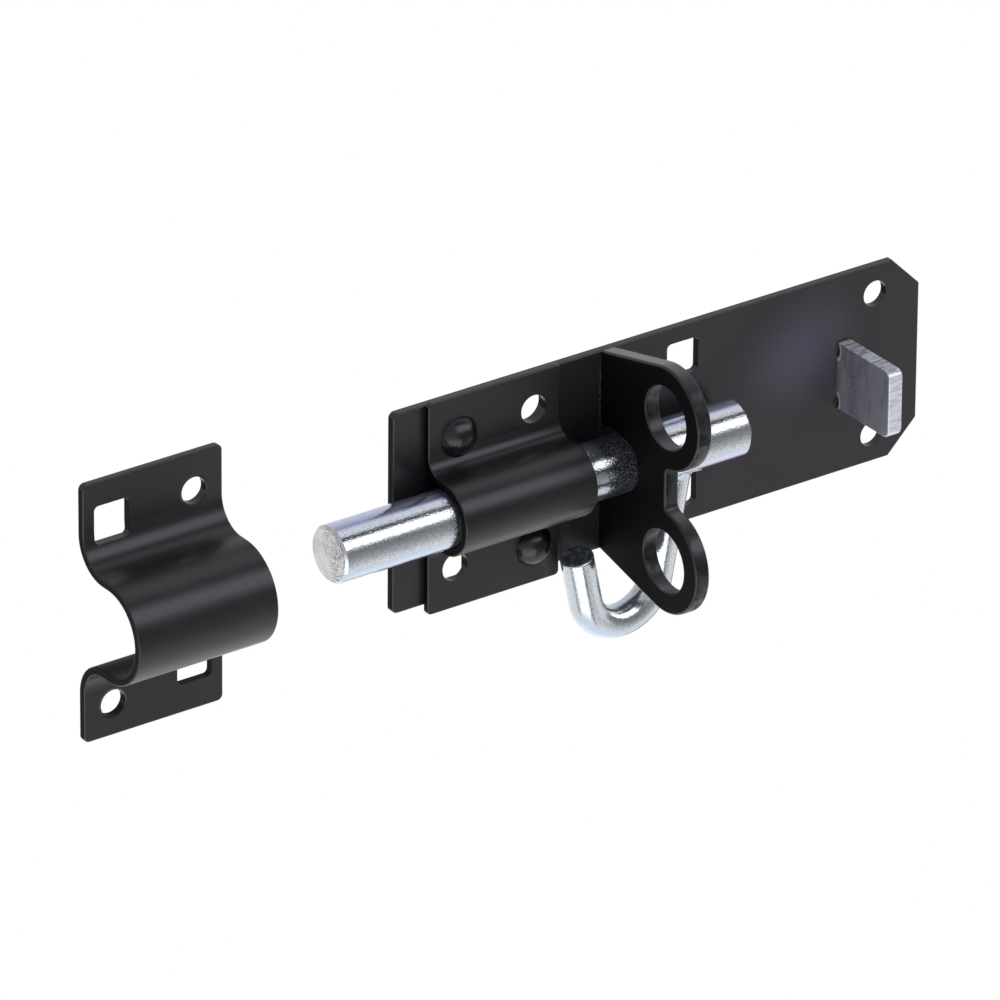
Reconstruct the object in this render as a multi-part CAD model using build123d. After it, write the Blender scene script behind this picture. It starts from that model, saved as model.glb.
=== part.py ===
"""Padbolt with its keep: a sliding, turning bolt on a plate, locked by a padlock through the hasp.

Row frame, in millimetres: +X runs along the bolt towards its stop, +Y goes into the gate, +Z is up.
The origin is the middle of the back plate's back face, which lies on the gate. The bolt is modelled
shot, with its hook hanging down beside the hasp.
"""
from build123d import *
from math import acos, atan2, cos, degrees, hypot, radians, sin, sqrt, tan
import os

# Back plate
plate_length = 150.0
plate_height = 51.0
plate_thickness = 2.0
plate_corner_radius = 1.5
plate_chamfer = 8.0
sheet_edge_round = 0.4

# Round screw holes at the plate's right end
end_hole_radius = 3.25
end_hole_inset = 13.0
end_hole_spacing = 36.5

# Square holes for carriage bolts, one pair beside the hasp and one under the saddle
square_hole_size = 8.9
square_hole_corner = 1.2
square_hole_from_hasp = 19.2

# Bolt
bolt_radius = 7.0
bolt_plate_gap = 0.8
bolt_running_gap = 0.3
bolt_overhang = 23.3
bolt_travel = 35.1
bolt_end_chamfer = 0.7

# Saddle, the formed strap that guides the bolt
saddle_width = 37.0
saddle_setback = 8.6
saddle_sheet = 1.8
saddle_bend_radius = 4.0
saddle_rise_above_plate = 0.9
saddle_drop_below_plate = 2.1
saddle_corner_radius = 1.2
saddle_hole_radius = 3.5
saddle_fixing_inset = 7.6
saddle_hole_from_bend = 4.0
plate_clearance_hole_radius = 4.1

# Rivets that hold the saddle
rivet_head_radius = 4.9
rivet_head_height = 3.4
rivet_shank_radius = 2.5
rivet_tail_radius = 3.7
rivet_tail_depth = 1.2
rivet_fit = 0.05
rivet_upper_from_bend = 3.0
rivet_lower_from_bend = 5.0
rivet_upper_inset = 8.5
rivet_lower_inset = 7.25
rivet_seat_clearance = 0.05

# Hasp plate
hasp_from_saddle = 12.7
hasp_thickness = 4.0
hasp_edge_round = 0.7
hasp_hole_edge_round = 0.4
eye_radius = 7.8
eye_reach = 17.1
eye_height = 18.4
ear_wall = 5.0
notch_reach = 17.4
notch_corner = 2.0
hasp_tenon_width = 10.0
tenon_fit = 0.05

# Stop tab
tab_inset = 23.7
tab_thickness = 4.0
tab_height = 17.0
tab_reach = 20.1
tab_corner_radius = 2.0
tab_tenon_width = 11.0

# Hook handle, with its splays and its lean towards the plate in degrees
hook_bar_radius = 4.0
hook_bend_radius = 10.15
hook_free_splay = 14.0
hook_root_splay = 7.5
hook_lean = 3.5
hook_ear_gap = 0.35
hook_end_past_notch = 4.1
hook_end_round = 0.5
weld_size = 3.1
weld_fit = 0.05

# Keep, the formed strap that catches the bolt, with its hole heights from its own middle
keep_from_plate = 46.9
keep_width = 37.8
keep_height = 65.0
keep_sheet = 2.0
keep_side_clearance = 3.5
keep_front_clearance = 5.6
keep_bend_radius = 7.5
keep_corner_radius = 1.5
keep_round_radius = 3.3
keep_square_size = 9.4
keep_fixing_inset = 7.8
keep_upper_round_height = 23.0
keep_lower_round_height = 24.3
keep_upper_square_height = 21.8
keep_lower_square_height = 20.6
keep_drop = 0.65

# Places that follow from the sizes above
plate_left = -plate_length / 2
plate_right = plate_length / 2
plate_front = -plate_thickness
bolt_axis_y = plate_front - bolt_plate_gap - bolt_radius
saddle_left = plate_left + saddle_setback
saddle_right = saddle_left + saddle_width
saddle_front = plate_front - saddle_sheet
saddle_inner_radius = bolt_radius + bolt_running_gap
saddle_bend_height = saddle_inner_radius + saddle_sheet + saddle_bend_radius
fixing_row_height = saddle_bend_height + saddle_hole_from_bend
rivet_upper_height = saddle_bend_height + rivet_upper_from_bend
rivet_lower_height = saddle_bend_height + rivet_lower_from_bend
screw_row_left = saddle_left + saddle_fixing_inset
screw_row_right = saddle_right - saddle_fixing_inset
rivet_upper_x = saddle_left + rivet_upper_inset
rivet_lower_x = saddle_right - rivet_lower_inset
hasp_left = saddle_right + hasp_from_saddle
hasp_right = hasp_left + hasp_thickness
hasp_middle = (hasp_left + hasp_right) / 2
hasp_root = plate_height / 2
hasp_slot_radius = bolt_radius + bolt_running_gap
square_hole_x = hasp_right + square_hole_from_hasp
tab_left = plate_right - tab_inset
ear_radius = eye_radius + ear_wall
eye_y = bolt_axis_y - eye_reach
notch_y = bolt_axis_y - notch_reach
rivet_places = (
    (rivet_upper_x, rivet_upper_height),
    (rivet_lower_x, -rivet_lower_height),
)
keep_right = plate_left - keep_from_plate
keep_left = keep_right - keep_width
keep_middle = (keep_left + keep_right) / 2
keep_inner_radius = bolt_radius + keep_side_clearance
keep_arch_y = bolt_axis_y - bolt_radius - keep_front_clearance + keep_inner_radius


def arc_about(centre, radius, start_deg, end_deg):
    """Circular arc in a sketch plane, from one angle to the other."""
    middle = (start_deg + end_deg) / 2
    points = []
    for angle in (start_deg, middle, end_deg):
        turn = radians(angle)
        points.append((centre[0] + radius * cos(turn), centre[1] + radius * sin(turn)))
    return ThreePointArc(*points)


def bar_along_x(radius, start_x, end_x, y, z):
    """Round bar along X between two stations."""
    seat = Plane(origin=(start_x, y, z), z_dir=(1, 0, 0))
    return extrude(seat * Circle(radius), end_x - start_x)


def round_hole(radius, x, z, from_y, to_y):
    """Cutter for a round hole along Y."""
    seat = Plane(origin=(x, from_y, z), z_dir=(0, 1, 0))
    return extrude(seat * Circle(radius), to_y - from_y)


def square_hole(size, corner, x, z, from_y, to_y):
    """Cutter for a square hole along Y with rounded corners."""
    seat = Plane(origin=(x, from_y, z), x_dir=(1, 0, 0), z_dir=(0, 1, 0))
    return extrude(seat * RectangleRounded(size, size, corner), to_y - from_y)


def edges_at(solid, axis, value):
    """Edges that lie wholly in the plane where the axis coordinate has this value."""
    return solid.edges().filter_by_position(axis, value - 0.001, value + 0.001)


def strap(left, width, back, sheet, axis_y, inner_radius, bend_radius, top, bottom, corner):
    """Sheet strap with flat flanges and a half-round arch, bent from one strip.

    The flanges lie on the plane y = back. bend_radius is the hollow bend on the front face.
    """
    front = back - sheet
    outer_radius = inner_radius + sheet
    bend_y = front - bend_radius
    bend_z = outer_radius + bend_radius
    back_bend = bend_radius + sheet
    outline = (
        Line((front, top), (front, bend_z))
        + arc_about((bend_y, bend_z), bend_radius, 0, -90)
        + Line((bend_y, outer_radius), (axis_y, outer_radius))
        + arc_about((axis_y, 0), outer_radius, 90, 270)
        + Line((axis_y, -outer_radius), (bend_y, -outer_radius))
        + arc_about((bend_y, -bend_z), bend_radius, 90, 0)
        + Line((front, -bend_z), (front, bottom))
        + Line((front, bottom), (back, bottom))
        + Line((back, bottom), (back, -bend_z))
        + arc_about((bend_y, -bend_z), back_bend, 0, 90)
        + Line((bend_y, -inner_radius), (axis_y, -inner_radius))
        + arc_about((axis_y, 0), inner_radius, 270, 90)
        + Line((axis_y, inner_radius), (bend_y, inner_radius))
        + arc_about((bend_y, bend_z), back_bend, -90, 0)
        + Line((back, bend_z), (back, top))
        + Line((back, top), (front, top))
    )
    profile = Plane(origin=(left, 0, 0), x_dir=(0, 1, 0), z_dir=(1, 0, 0)) * make_face(outline)
    solid = extrude(profile, width)
    corners = solid.edges().filter_by(Axis.Y)
    corners = [edge for edge in corners if abs(edge.length - sheet) < 0.001]
    return fillet(corners, corner)


def soften_ends(solid, left, width, radius):
    """Round the edges of a strap's two end faces."""
    rims = edges_at(solid, Axis.X, left) + edges_at(solid, Axis.X, left + width)
    return fillet(rims, radius)


def plate_outline():
    """Outline of the back plate: rounded left corners, chamfered right corners."""
    sheet = Rectangle(plate_length, plate_height)
    left_corners = sheet.vertices().group_by(Axis.X)[0]
    sheet = fillet(left_corners, plate_corner_radius)
    right_corners = sheet.vertices().group_by(Axis.X)[-1]
    return chamfer(right_corners, plate_chamfer)


def hasp_tenon_height():
    """Height of the middle of each hasp tenon above or below the bolt axis."""
    return (hasp_slot_radius + hasp_root) / 2


def tenon_slot(left, thickness, width, z):
    """Cutter for the slot in the plate that takes a tenon."""
    middle_x = left + thickness / 2
    middle_y = plate_front / 2
    cutter = Box(thickness + 2 * tenon_fit, plate_thickness, width + 2 * tenon_fit)
    return Pos(middle_x, middle_y, z) * cutter


def make_back_plate():
    """Pressed plate that carries every other fixed piece."""
    seat = Plane(origin=(0, 0, 0), x_dir=(1, 0, 0), z_dir=(0, -1, 0))
    plate = extrude(seat * plate_outline(), plate_thickness)
    plate = fillet(edges_at(plate, Axis.Y, plate_front), sheet_edge_round)
    for side in (1, -1):
        row = side * end_hole_spacing / 2
        plate -= round_hole(end_hole_radius, plate_right - end_hole_inset, row, plate_front, 0)
        row = side * fixing_row_height
        plate -= square_hole(square_hole_size, square_hole_corner, square_hole_x, row, plate_front, 0)
        row = side * hasp_tenon_height()
        plate -= tenon_slot(hasp_left, hasp_thickness, hasp_tenon_width, row)
    plate -= tenon_slot(tab_left, tab_thickness, tab_tenon_width, 0)
    plate -= round_hole(
        plate_clearance_hole_radius, screw_row_right, fixing_row_height, plate_front, 0
    )
    plate -= square_hole(
        square_hole_size, square_hole_corner, screw_row_left, -fixing_row_height, plate_front, 0
    )
    for x, z in rivet_places:
        plate -= round_hole(rivet_shank_radius + rivet_fit, x, z, plate_front, 0)
        plate -= rivet_tail(x, z, rivet_fit)
    return plate


def make_bolt_saddle():
    """Strap over the bolt, with two screw holes, two rivet holes and the heads' flat seats."""
    top = plate_height / 2 + saddle_rise_above_plate
    bottom = -plate_height / 2 - saddle_drop_below_plate
    saddle = strap(
        saddle_left,
        saddle_width,
        plate_front,
        saddle_sheet,
        bolt_axis_y,
        saddle_inner_radius,
        saddle_bend_radius,
        top,
        bottom,
        saddle_corner_radius,
    )
    saddle = soften_ends(saddle, saddle_left, saddle_width, sheet_edge_round)
    screw_rows = ((screw_row_right, fixing_row_height), (screw_row_left, -fixing_row_height))
    for x, z in screw_rows:
        saddle -= round_hole(saddle_hole_radius, x, z, saddle_front, plate_front)
    seat_radius = rivet_head_radius + rivet_seat_clearance
    seat_front = saddle_front - saddle_bend_radius
    for x, z in rivet_places:
        saddle -= round_hole(rivet_shank_radius + rivet_fit, x, z, saddle_front, plate_front)
        saddle -= round_hole(seat_radius, x, z, seat_front, saddle_front)
    return saddle


def rivet_tail(x, z, growth):
    """Cone of the rivet's flush tail in the back of the plate."""
    seat = Plane(origin=(x, 0, z), z_dir=(0, -1, 0))
    shank = rivet_shank_radius + growth
    tail = rivet_tail_radius + growth
    profile = Polyline((0, 0), (tail, 0), (shank, rivet_tail_depth), (0, rivet_tail_depth), close=True)
    cone = revolve(Plane.XZ * make_face(profile), Axis.Z)
    return seat.location * cone


def make_rivet(x, z):
    """Dome-headed rivet through the saddle and the plate, peened flush at the back."""
    seat = Plane(origin=(x, saddle_front, z), z_dir=(0, -1, 0))
    sphere_radius = (rivet_head_radius**2 + rivet_head_height**2) / (2 * rivet_head_height)
    centre_height = rivet_head_height - sphere_radius
    rim_deg = degrees(atan2(-centre_height, rivet_head_radius))
    dome = (
        Line((0, 0), (rivet_head_radius, 0))
        + arc_about((0, centre_height), sphere_radius, rim_deg, 90)
        + Line((0, rivet_head_height), (0, 0))
    )
    head = seat.location * revolve(Plane.XZ * make_face(dome), Axis.Z)
    shank = round_hole(rivet_shank_radius, x, z, saddle_front, 0)
    return head + shank + rivet_tail(x, z, 0)


def hasp_outline():
    """Outline of the hasp plate, seen along X: two ears, the notch and the slot over the bolt."""
    root = hasp_root
    slot = hasp_slot_radius
    from_ear_y = plate_front - eye_y
    from_ear_z = root - eye_height
    lean = degrees(atan2(from_ear_z, from_ear_y))
    tangent_deg = lean + degrees(acos(ear_radius / hypot(from_ear_y, from_ear_z)))
    notch_drop = sqrt(ear_radius**2 - (eye_y - notch_y) ** 2)
    notch_half = eye_height - notch_drop
    notch_deg = 180 + degrees(atan2(notch_drop, eye_y - notch_y))
    tangent_y = eye_y + ear_radius * cos(radians(tangent_deg))
    tangent_z = eye_height + ear_radius * sin(radians(tangent_deg))
    outline = (
        Line((plate_front, root), (tangent_y, tangent_z))
        + arc_about((eye_y, eye_height), ear_radius, tangent_deg, notch_deg)
        + Line((notch_y, notch_half), (notch_y, -notch_half))
        + arc_about((eye_y, -eye_height), ear_radius, -notch_deg, -tangent_deg)
        + Line((tangent_y, -tangent_z), (plate_front, -root))
        + Line((plate_front, -root), (plate_front, -slot))
        + Line((plate_front, -slot), (bolt_axis_y, -slot))
        + arc_about((bolt_axis_y, 0), slot, 270, 90)
        + Line((bolt_axis_y, slot), (plate_front, slot))
        + Line((plate_front, slot), (plate_front, root))
    )
    face = make_face(outline)
    corners = [v for v in face.vertices() if abs(v.X - notch_y) < 0.001]
    return fillet(corners, notch_corner)


def hasp_edge_shows(edge):
    """True for the edges of the hasp's outline away from the plate and the bolt's slot."""
    middle = edge @ 0.5
    slot = hasp_slot_radius
    on_root = middle.Y > plate_front - 0.001
    in_slot = abs(middle.Z) < slot + 0.001 and middle.Y > bolt_axis_y - slot - 0.001
    return not on_root and not in_slot


def make_hasp_plate():
    """Upright plate with two padlock eyes and the notch that the hook passes through."""
    seat = Plane(origin=(hasp_left, 0, 0), x_dir=(0, 1, 0), z_dir=(1, 0, 0))
    hasp = extrude(seat * hasp_outline(), hasp_thickness)
    for x in (hasp_left, hasp_right):
        rim = [edge for edge in edges_at(hasp, Axis.X, x) if hasp_edge_shows(edge)]
        hasp = fillet(rim, hasp_edge_round)
    for z in (eye_height, -eye_height):
        hasp -= bar_along_x(eye_radius, hasp_left, hasp_right, eye_y, z)
    for x in (hasp_left, hasp_right):
        rim = edges_at(hasp, Axis.X, x).filter_by(GeomType.CIRCLE)
        rim = [edge for edge in rim if abs(edge.radius - eye_radius) < 0.001]
        hasp = fillet(rim, hasp_hole_edge_round)
    for side in (1, -1):
        tenon = Box(hasp_thickness, plate_thickness, hasp_tenon_width)
        hasp += Pos(hasp_middle, plate_front / 2, side * hasp_tenon_height()) * tenon
    return hasp


def make_stop_tab():
    """Upright tab that stops the bolt's rear end, staked through the plate."""
    seat = Plane(origin=(tab_left, plate_front, 0), x_dir=(0, 1, 0), z_dir=(1, 0, 0))
    blank = seat * (Pos(-tab_reach / 2, 0) * Rectangle(tab_reach, tab_height))
    tab = extrude(blank, tab_thickness)
    corners = edges_at(tab, Axis.Y, plate_front - tab_reach).filter_by(Axis.X)
    tab = fillet(corners, tab_corner_radius)
    for x in (tab_left, tab_left + tab_thickness):
        rim = [edge for edge in edges_at(tab, Axis.X, x) if (edge @ 0.5).Y < plate_front - 0.001]
        tab = fillet(rim, sheet_edge_round)
    tenon = Box(tab_thickness, plate_thickness, tab_tenon_width)
    return tab + Pos(tab_left + tab_thickness / 2, plate_front / 2, 0) * tenon


def make_bolt_rod():
    """Round bar with chamfered ends."""
    front = plate_left - bolt_overhang
    rear = tab_left - bolt_travel
    rod = bar_along_x(bolt_radius, front, rear, bolt_axis_y, 0)
    return chamfer(rod.edges().filter_by(GeomType.CIRCLE), bolt_end_chamfer)


def hook_bend_depth():
    """Depth of the bend's centre below the bolt axis, so that the bend passes over the ears."""
    ear_reach = hypot(eye_reach, eye_height) + ear_radius
    inner_radius = hook_bend_radius - hook_bar_radius
    far_corner = hasp_thickness / 2 - hasp_edge_round
    return ear_reach + hook_ear_gap - sqrt(inner_radius**2 - far_corner**2)


def weld_to_bolt(bar, root_x):
    """Flare the bar's root with a weld bead and shape it to the bolt's round surface."""
    reach = 2 * (hook_bar_radius + weld_size)
    bolt = bar_along_x(bolt_radius, root_x - reach, root_x + reach, bolt_axis_y, 0)
    joined = bolt + bar
    seam = joined.edges().filter_by(GeomType.BSPLINE)
    flared = fillet(seam, weld_size)
    clear_bolt = bar_along_x(
        bolt_radius + weld_fit, root_x - reach, root_x + reach, bolt_axis_y, 0
    )
    return flared - clear_bolt


def make_hook_handle():
    """Bent round bar, open at one leg and welded to the bolt at the other."""
    depth = hook_bend_depth()
    free = radians(hook_free_splay)
    free_x = hasp_middle - hook_bend_radius * cos(free)
    free_z = -depth - hook_bend_radius * sin(free)
    end_z = -notch_reach - hook_end_past_notch
    end_x = free_x - (end_z - free_z) * tan(free)
    root = radians(hook_root_splay)
    root_x = hasp_middle + hook_bend_radius * cos(root)
    root_z = -depth - hook_bend_radius * sin(root)
    weld_x = root_x - root_z * tan(root)
    bend = arc_about(
        (hasp_middle, -depth), hook_bend_radius, 180 + hook_free_splay, 360 - hook_root_splay
    )
    path = Line((end_x, end_z), (free_x, free_z)) + bend + Line((root_x, root_z), (weld_x, 0))
    level = Plane(origin=(0, bolt_axis_y, 0), x_dir=(1, 0, 0), z_dir=(0, -1, 0))
    wire = level * Wire(path.edges())
    start = Plane(origin=wire @ 0, z_dir=wire % 0)
    bar = sweep(start * Circle(hook_bar_radius), path=wire)
    free_end = bar.edges().filter_by(GeomType.CIRCLE).sort_by(Axis.X)[0]
    bar = fillet(free_end, hook_end_round)
    hook = weld_to_bolt(bar, weld_x)
    return hook.rotate(Axis((0, bolt_axis_y, 0), (1, 0, 0)), hook_lean)


def make_keep():
    """Strap on the post that catches the bolt."""
    half = keep_height / 2
    keep = strap(
        keep_left,
        keep_width,
        0,
        keep_sheet,
        keep_arch_y,
        keep_inner_radius,
        keep_bend_radius,
        half,
        -half,
        keep_corner_radius,
    )
    keep = soften_ends(keep, keep_left, keep_width, sheet_edge_round)
    reach = keep_width / 2 - keep_fixing_inset
    front = -keep_sheet - keep_bend_radius
    round_rows = ((reach, keep_upper_round_height), (-reach, -keep_lower_round_height))
    for offset, z in round_rows:
        keep -= round_hole(keep_round_radius, keep_middle + offset, z, front, 0)
    square_rows = ((-reach, keep_upper_square_height), (reach, -keep_lower_square_height))
    for offset, z in square_rows:
        x = keep_middle + offset
        keep -= square_hole(keep_square_size, square_hole_corner, x, z, front, 0)
    return Pos(0, 0, -keep_drop) * keep


parts = {
    "back_plate": make_back_plate(),
    "bolt_saddle": make_bolt_saddle(),
    "rivet_upper": make_rivet(*rivet_places[0]),
    "rivet_lower": make_rivet(*rivet_places[1]),
    "hasp_plate": make_hasp_plate(),
    "stop_tab": make_stop_tab(),
    "bolt_rod": make_bolt_rod(),
    "hook_handle": make_hook_handle(),
    "keep": make_keep(),
}

os.makedirs("parts", exist_ok=True)
for name, solid in parts.items():
    solid.label = name
    export_step(solid, f"parts/{name}.step")
    size = solid.bounding_box().size
    print(f"{name}: {size.X:.2f} x {size.Y:.2f} x {size.Z:.2f} mm, {solid.volume:.0f} mm3")
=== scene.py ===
"""A gate padbolt with its keep: black coated sheet, and a zinc plated bolt, hook and stop tab.

Everything is in metres in the part's own frame: +X runs along the bolt towards the stop tab, +Y
goes into the gate and +Z is up. A span is a pair of values between which a smooth mask goes from 0
to 1; its first value may be the larger.
"""

import logging
import math
from dataclasses import dataclass
from enum import Enum
from typing import Optional, Union

import bpy
from mathutils import Matrix, Vector


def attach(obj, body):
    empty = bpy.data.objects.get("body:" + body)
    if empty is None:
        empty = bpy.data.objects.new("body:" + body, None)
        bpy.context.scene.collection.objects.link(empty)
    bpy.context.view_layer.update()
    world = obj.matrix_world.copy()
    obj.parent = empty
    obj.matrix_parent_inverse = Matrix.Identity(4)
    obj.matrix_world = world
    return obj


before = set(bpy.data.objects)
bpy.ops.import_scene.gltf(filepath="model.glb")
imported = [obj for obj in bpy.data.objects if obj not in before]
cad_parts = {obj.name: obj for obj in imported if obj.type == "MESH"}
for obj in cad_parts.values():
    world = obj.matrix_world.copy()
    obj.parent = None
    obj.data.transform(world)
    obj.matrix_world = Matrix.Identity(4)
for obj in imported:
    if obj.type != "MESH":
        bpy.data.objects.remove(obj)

LOG = logging.getLogger("padbolt")
MM = 0.001

Number = Union[int, float]
Pair = tuple[float, float]
Span = tuple[float, float]
Triple = tuple[float, float, float]


def mm(*values: float) -> tuple[float, ...]:
    """Turn millimetres into metres."""
    return tuple(value * MM for value in values)


class Grain(Enum):
    """Which way the drawn lines of a zinc plated piece run."""

    ALONG_X = "along_x"
    ALONG_Z = "along_z"

    def scales(self, lengthwise: float, crosswise: float) -> Triple:
        """Noise scales for lines that run this way.

        Args:
            lengthwise: Features per metre along the lines.
            crosswise: Features per metre across the lines.

        Returns:
            The scales along X, Y and Z.
        """
        if self is Grain.ALONG_X:
            return (lengthwise, crosswise, crosswise)
        return (crosswise, crosswise, lengthwise)


class Wire:
    """A shader output that Python's operators work on, each adding its Math node."""

    def __init__(self, graph: "Graph", socket: bpy.types.NodeSocket) -> None:
        """Hold the output and the graph that it lies in."""
        self.graph = graph
        self.socket = socket

    def __add__(self, other: Union["Wire", Number]) -> "Wire":
        """Sum."""
        return self.graph.math("ADD", self, other)

    def __radd__(self, other: Number) -> "Wire":
        """Sum with a number on the left."""
        return self.graph.math("ADD", other, self)

    def __sub__(self, other: Union["Wire", Number]) -> "Wire":
        """Difference."""
        return self.graph.math("SUBTRACT", self, other)

    def __rsub__(self, other: Number) -> "Wire":
        """Difference from a number."""
        return self.graph.math("SUBTRACT", other, self)

    def __mul__(self, other: Union["Wire", Number]) -> "Wire":
        """Product."""
        return self.graph.math("MULTIPLY", self, other)

    def __rmul__(self, other: Number) -> "Wire":
        """Product with a number on the left."""
        return self.graph.math("MULTIPLY", other, self)

    def __truediv__(self, other: Union["Wire", Number]) -> "Wire":
        """Quotient."""
        return self.graph.math("DIVIDE", self, other)

    def __pow__(self, other: Number) -> "Wire":
        """Power."""
        return self.graph.math("POWER", self, other)

    def __abs__(self) -> "Wire":
        """Absolute value."""
        return self.graph.math("ABSOLUTE", self)

    def rises(self, low: float, high: float) -> "Wire":
        """Smooth step.

        Args:
            low: Value at which the result is 0.
            high: Value at which the result is 1; it may be the smaller of the two.

        Returns:
            A wire between 0 and 1.
        """
        settings = {"interpolation_type": "SMOOTHSTEP"}
        if low < high:
            return self.graph.add("ShaderNodeMapRange", settings, {0: self, 1: low, 2: high})
        return 1 - self.rises(high, low)

    def within(self, low: float, high: float, soft: float) -> "Wire":
        """Smooth window.

        Args:
            low: Lower edge.
            high: Upper edge.
            soft: Half width of each edge.

        Returns:
            1 between the edges and 0 outside them.
        """
        return self.rises(low - soft, low + soft) * self.rises(high + soft, high - soft)


class Graph:
    """A node tree that is written as Python."""

    def __init__(self, tree: bpy.types.NodeTree) -> None:
        """Hold the tree, emptied."""
        self.tree = tree
        tree.nodes.clear()

    def node(
        self,
        kind: str,
        settings: Optional[dict] = None,
        inputs: Optional[dict] = None,
    ) -> bpy.types.Node:
        """Add one node.

        Args:
            kind: The node's type.
            settings: Attributes set first; a "stops" entry fills a colour ramp.
            inputs: Socket name or number to a value, a wire or a socket.

        Returns:
            The node.
        """
        made = self.tree.nodes.new(kind)
        for name, value in (settings or {}).items():
            if name == "stops":
                self.fill_ramp(made.color_ramp, value)
            else:
                setattr(made, name, value)
        for name, value in (inputs or {}).items():
            socket = made.inputs[name]
            if isinstance(value, Wire):
                self.tree.links.new(value.socket, socket)
            elif isinstance(value, bpy.types.NodeSocket):
                self.tree.links.new(value, socket)
            else:
                socket.default_value = value
        return made

    def add(
        self,
        kind: str,
        settings: Optional[dict] = None,
        inputs: Optional[dict] = None,
        output: Union[int, str] = 0,
    ) -> Wire:
        """Add one node and return one of its outputs.

        Args:
            kind: The node's type.
            settings: Attributes set first.
            inputs: Socket name or number to a value or a wire.
            output: The output wanted.

        Returns:
            That output as a wire.
        """
        return Wire(self, self.node(kind, settings, inputs).outputs[output])

    @staticmethod
    def fill_ramp(ramp: bpy.types.ColorRamp, stops: list[tuple[float, Triple]]) -> None:
        """Give a colour ramp its stops.

        Args:
            ramp: The ramp.
            stops: Positions and colours, from low to high.
        """
        while len(ramp.elements) < len(stops):
            ramp.elements.new(1.0)
        for element, (position, colour) in zip(ramp.elements, stops):
            element.position = position
            element.color = (*colour, 1.0)

    def math(self, operation: str, *values: Union[Wire, Number]) -> Wire:
        """Add a Math node.

        Args:
            operation: The Math node's operation.
            values: Its inputs, as wires or numbers.

        Returns:
            The node's result.
        """
        return self.add("ShaderNodeMath", {"operation": operation}, dict(enumerate(values)))

    def blend(
        self,
        mask: Union[Wire, Number],
        first: Union[Wire, Triple],
        second: Union[Wire, Triple],
    ) -> Wire:
        """Mix two colours.

        Args:
            mask: 0 gives the first colour, 1 the second.
            first: Colour or wire.
            second: Colour or wire.

        Returns:
            The mixed colour.
        """
        colours = {}
        for name, value in ((6, first), (7, second)):
            colours[name] = value if isinstance(value, Wire) else (*value, 1.0)
        return self.add("ShaderNodeMix", {"data_type": "RGBA"}, {0: mask, **colours}, 2)

    def place(self, origin: Triple = (0, 0, 0)) -> Wire:
        """Object coordinates about a point.

        Args:
            origin: The point that becomes the origin, in metres.

        Returns:
            The coordinates, in metres.
        """
        where = self.add("ShaderNodeTexCoord", output="Object")
        return self.add("ShaderNodeVectorMath", {"operation": "SUBTRACT"}, {0: where, 1: origin})

    def facing(self) -> tuple[Wire, Wire, Wire]:
        """X, Y and Z of the surface's normal in the object's frame."""
        return self.parts_of(self.add("ShaderNodeTexCoord", output="Normal"))

    def stretch(self, where: Wire, scale: Triple) -> Wire:
        """Scale a coordinate.

        Args:
            where: The coordinate.
            scale: Factors along X, Y and Z.

        Returns:
            The scaled coordinate.
        """
        return self.add("ShaderNodeVectorMath", {"operation": "MULTIPLY"}, {0: where, 1: scale})

    def parts_of(self, where: Wire) -> tuple[Wire, Wire, Wire]:
        """Split a vector into its X, Y and Z."""
        split = self.node("ShaderNodeSeparateXYZ", {}, {0: where})
        return tuple(Wire(self, split.outputs[i]) for i in range(3))

    def length(self, where: Wire) -> Wire:
        """Length of a vector."""
        return self.add("ShaderNodeVectorMath", {"operation": "LENGTH"}, {0: where}, "Value")

    def noise(
        self,
        where: Wire,
        scale: float = 1.0,
        detail: float = 3.0,
        roughness: float = 0.5,
        distortion: float = 0.0,
    ) -> Wire:
        """Noise between 0 and 1.

        Args:
            where: Coordinate in metres, or one already stretched to features.
            scale: Features per metre, or 1 for a stretched coordinate.
            detail: Octaves.
            roughness: Weight of the finer octaves.
            distortion: How far the pattern is warped.

        Returns:
            The noise's factor.
        """
        return self.add(
            "ShaderNodeTexNoise",
            {},
            {
                "Vector": where,
                "Scale": scale,
                "Detail": detail,
                "Roughness": roughness,
                "Distortion": distortion,
            },
        )

    def relief(self, height: Wire, depth: float, below: Optional[Wire] = None) -> Wire:
        """Bump from a height.

        Args:
            height: Height between 0 and 1.
            depth: The height of 1, in metres.
            below: Normal of a coarser relief under this one.

        Returns:
            The bumped normal.
        """
        inputs: dict = {"Height": height, "Distance": depth, "Strength": 1.0}
        if below is not None:
            inputs["Normal"] = below
        return self.add("ShaderNodeBump", {}, inputs)

    def shader(self, inputs: dict) -> bpy.types.Node:
        """Add a Principled shader with its inputs by name."""
        return self.node("ShaderNodeBsdfPrincipled", {}, inputs)

    def end(self, shader: bpy.types.Node, kind: str = "ShaderNodeOutputMaterial") -> None:
        """Join a shader to an output node of the kind named."""
        self.node(kind, {}, {"Surface": shader.outputs[0]})


def new_material(name: str) -> tuple[bpy.types.Material, Graph]:
    """Make an empty node material.

    Args:
        name: The material's name.

    Returns:
        The material and its graph.
    """
    material = bpy.data.materials.new(name)
    material.use_nodes = True
    return material, Graph(material.node_tree)


@dataclass
class Skin:
    """A finish while its layers are laid on: what each of them adds to."""

    colour: Wire
    rough: Wire
    height: Wire
    metal: Union[Wire, float] = 0.0
    patches: Optional[Wire] = None


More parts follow.
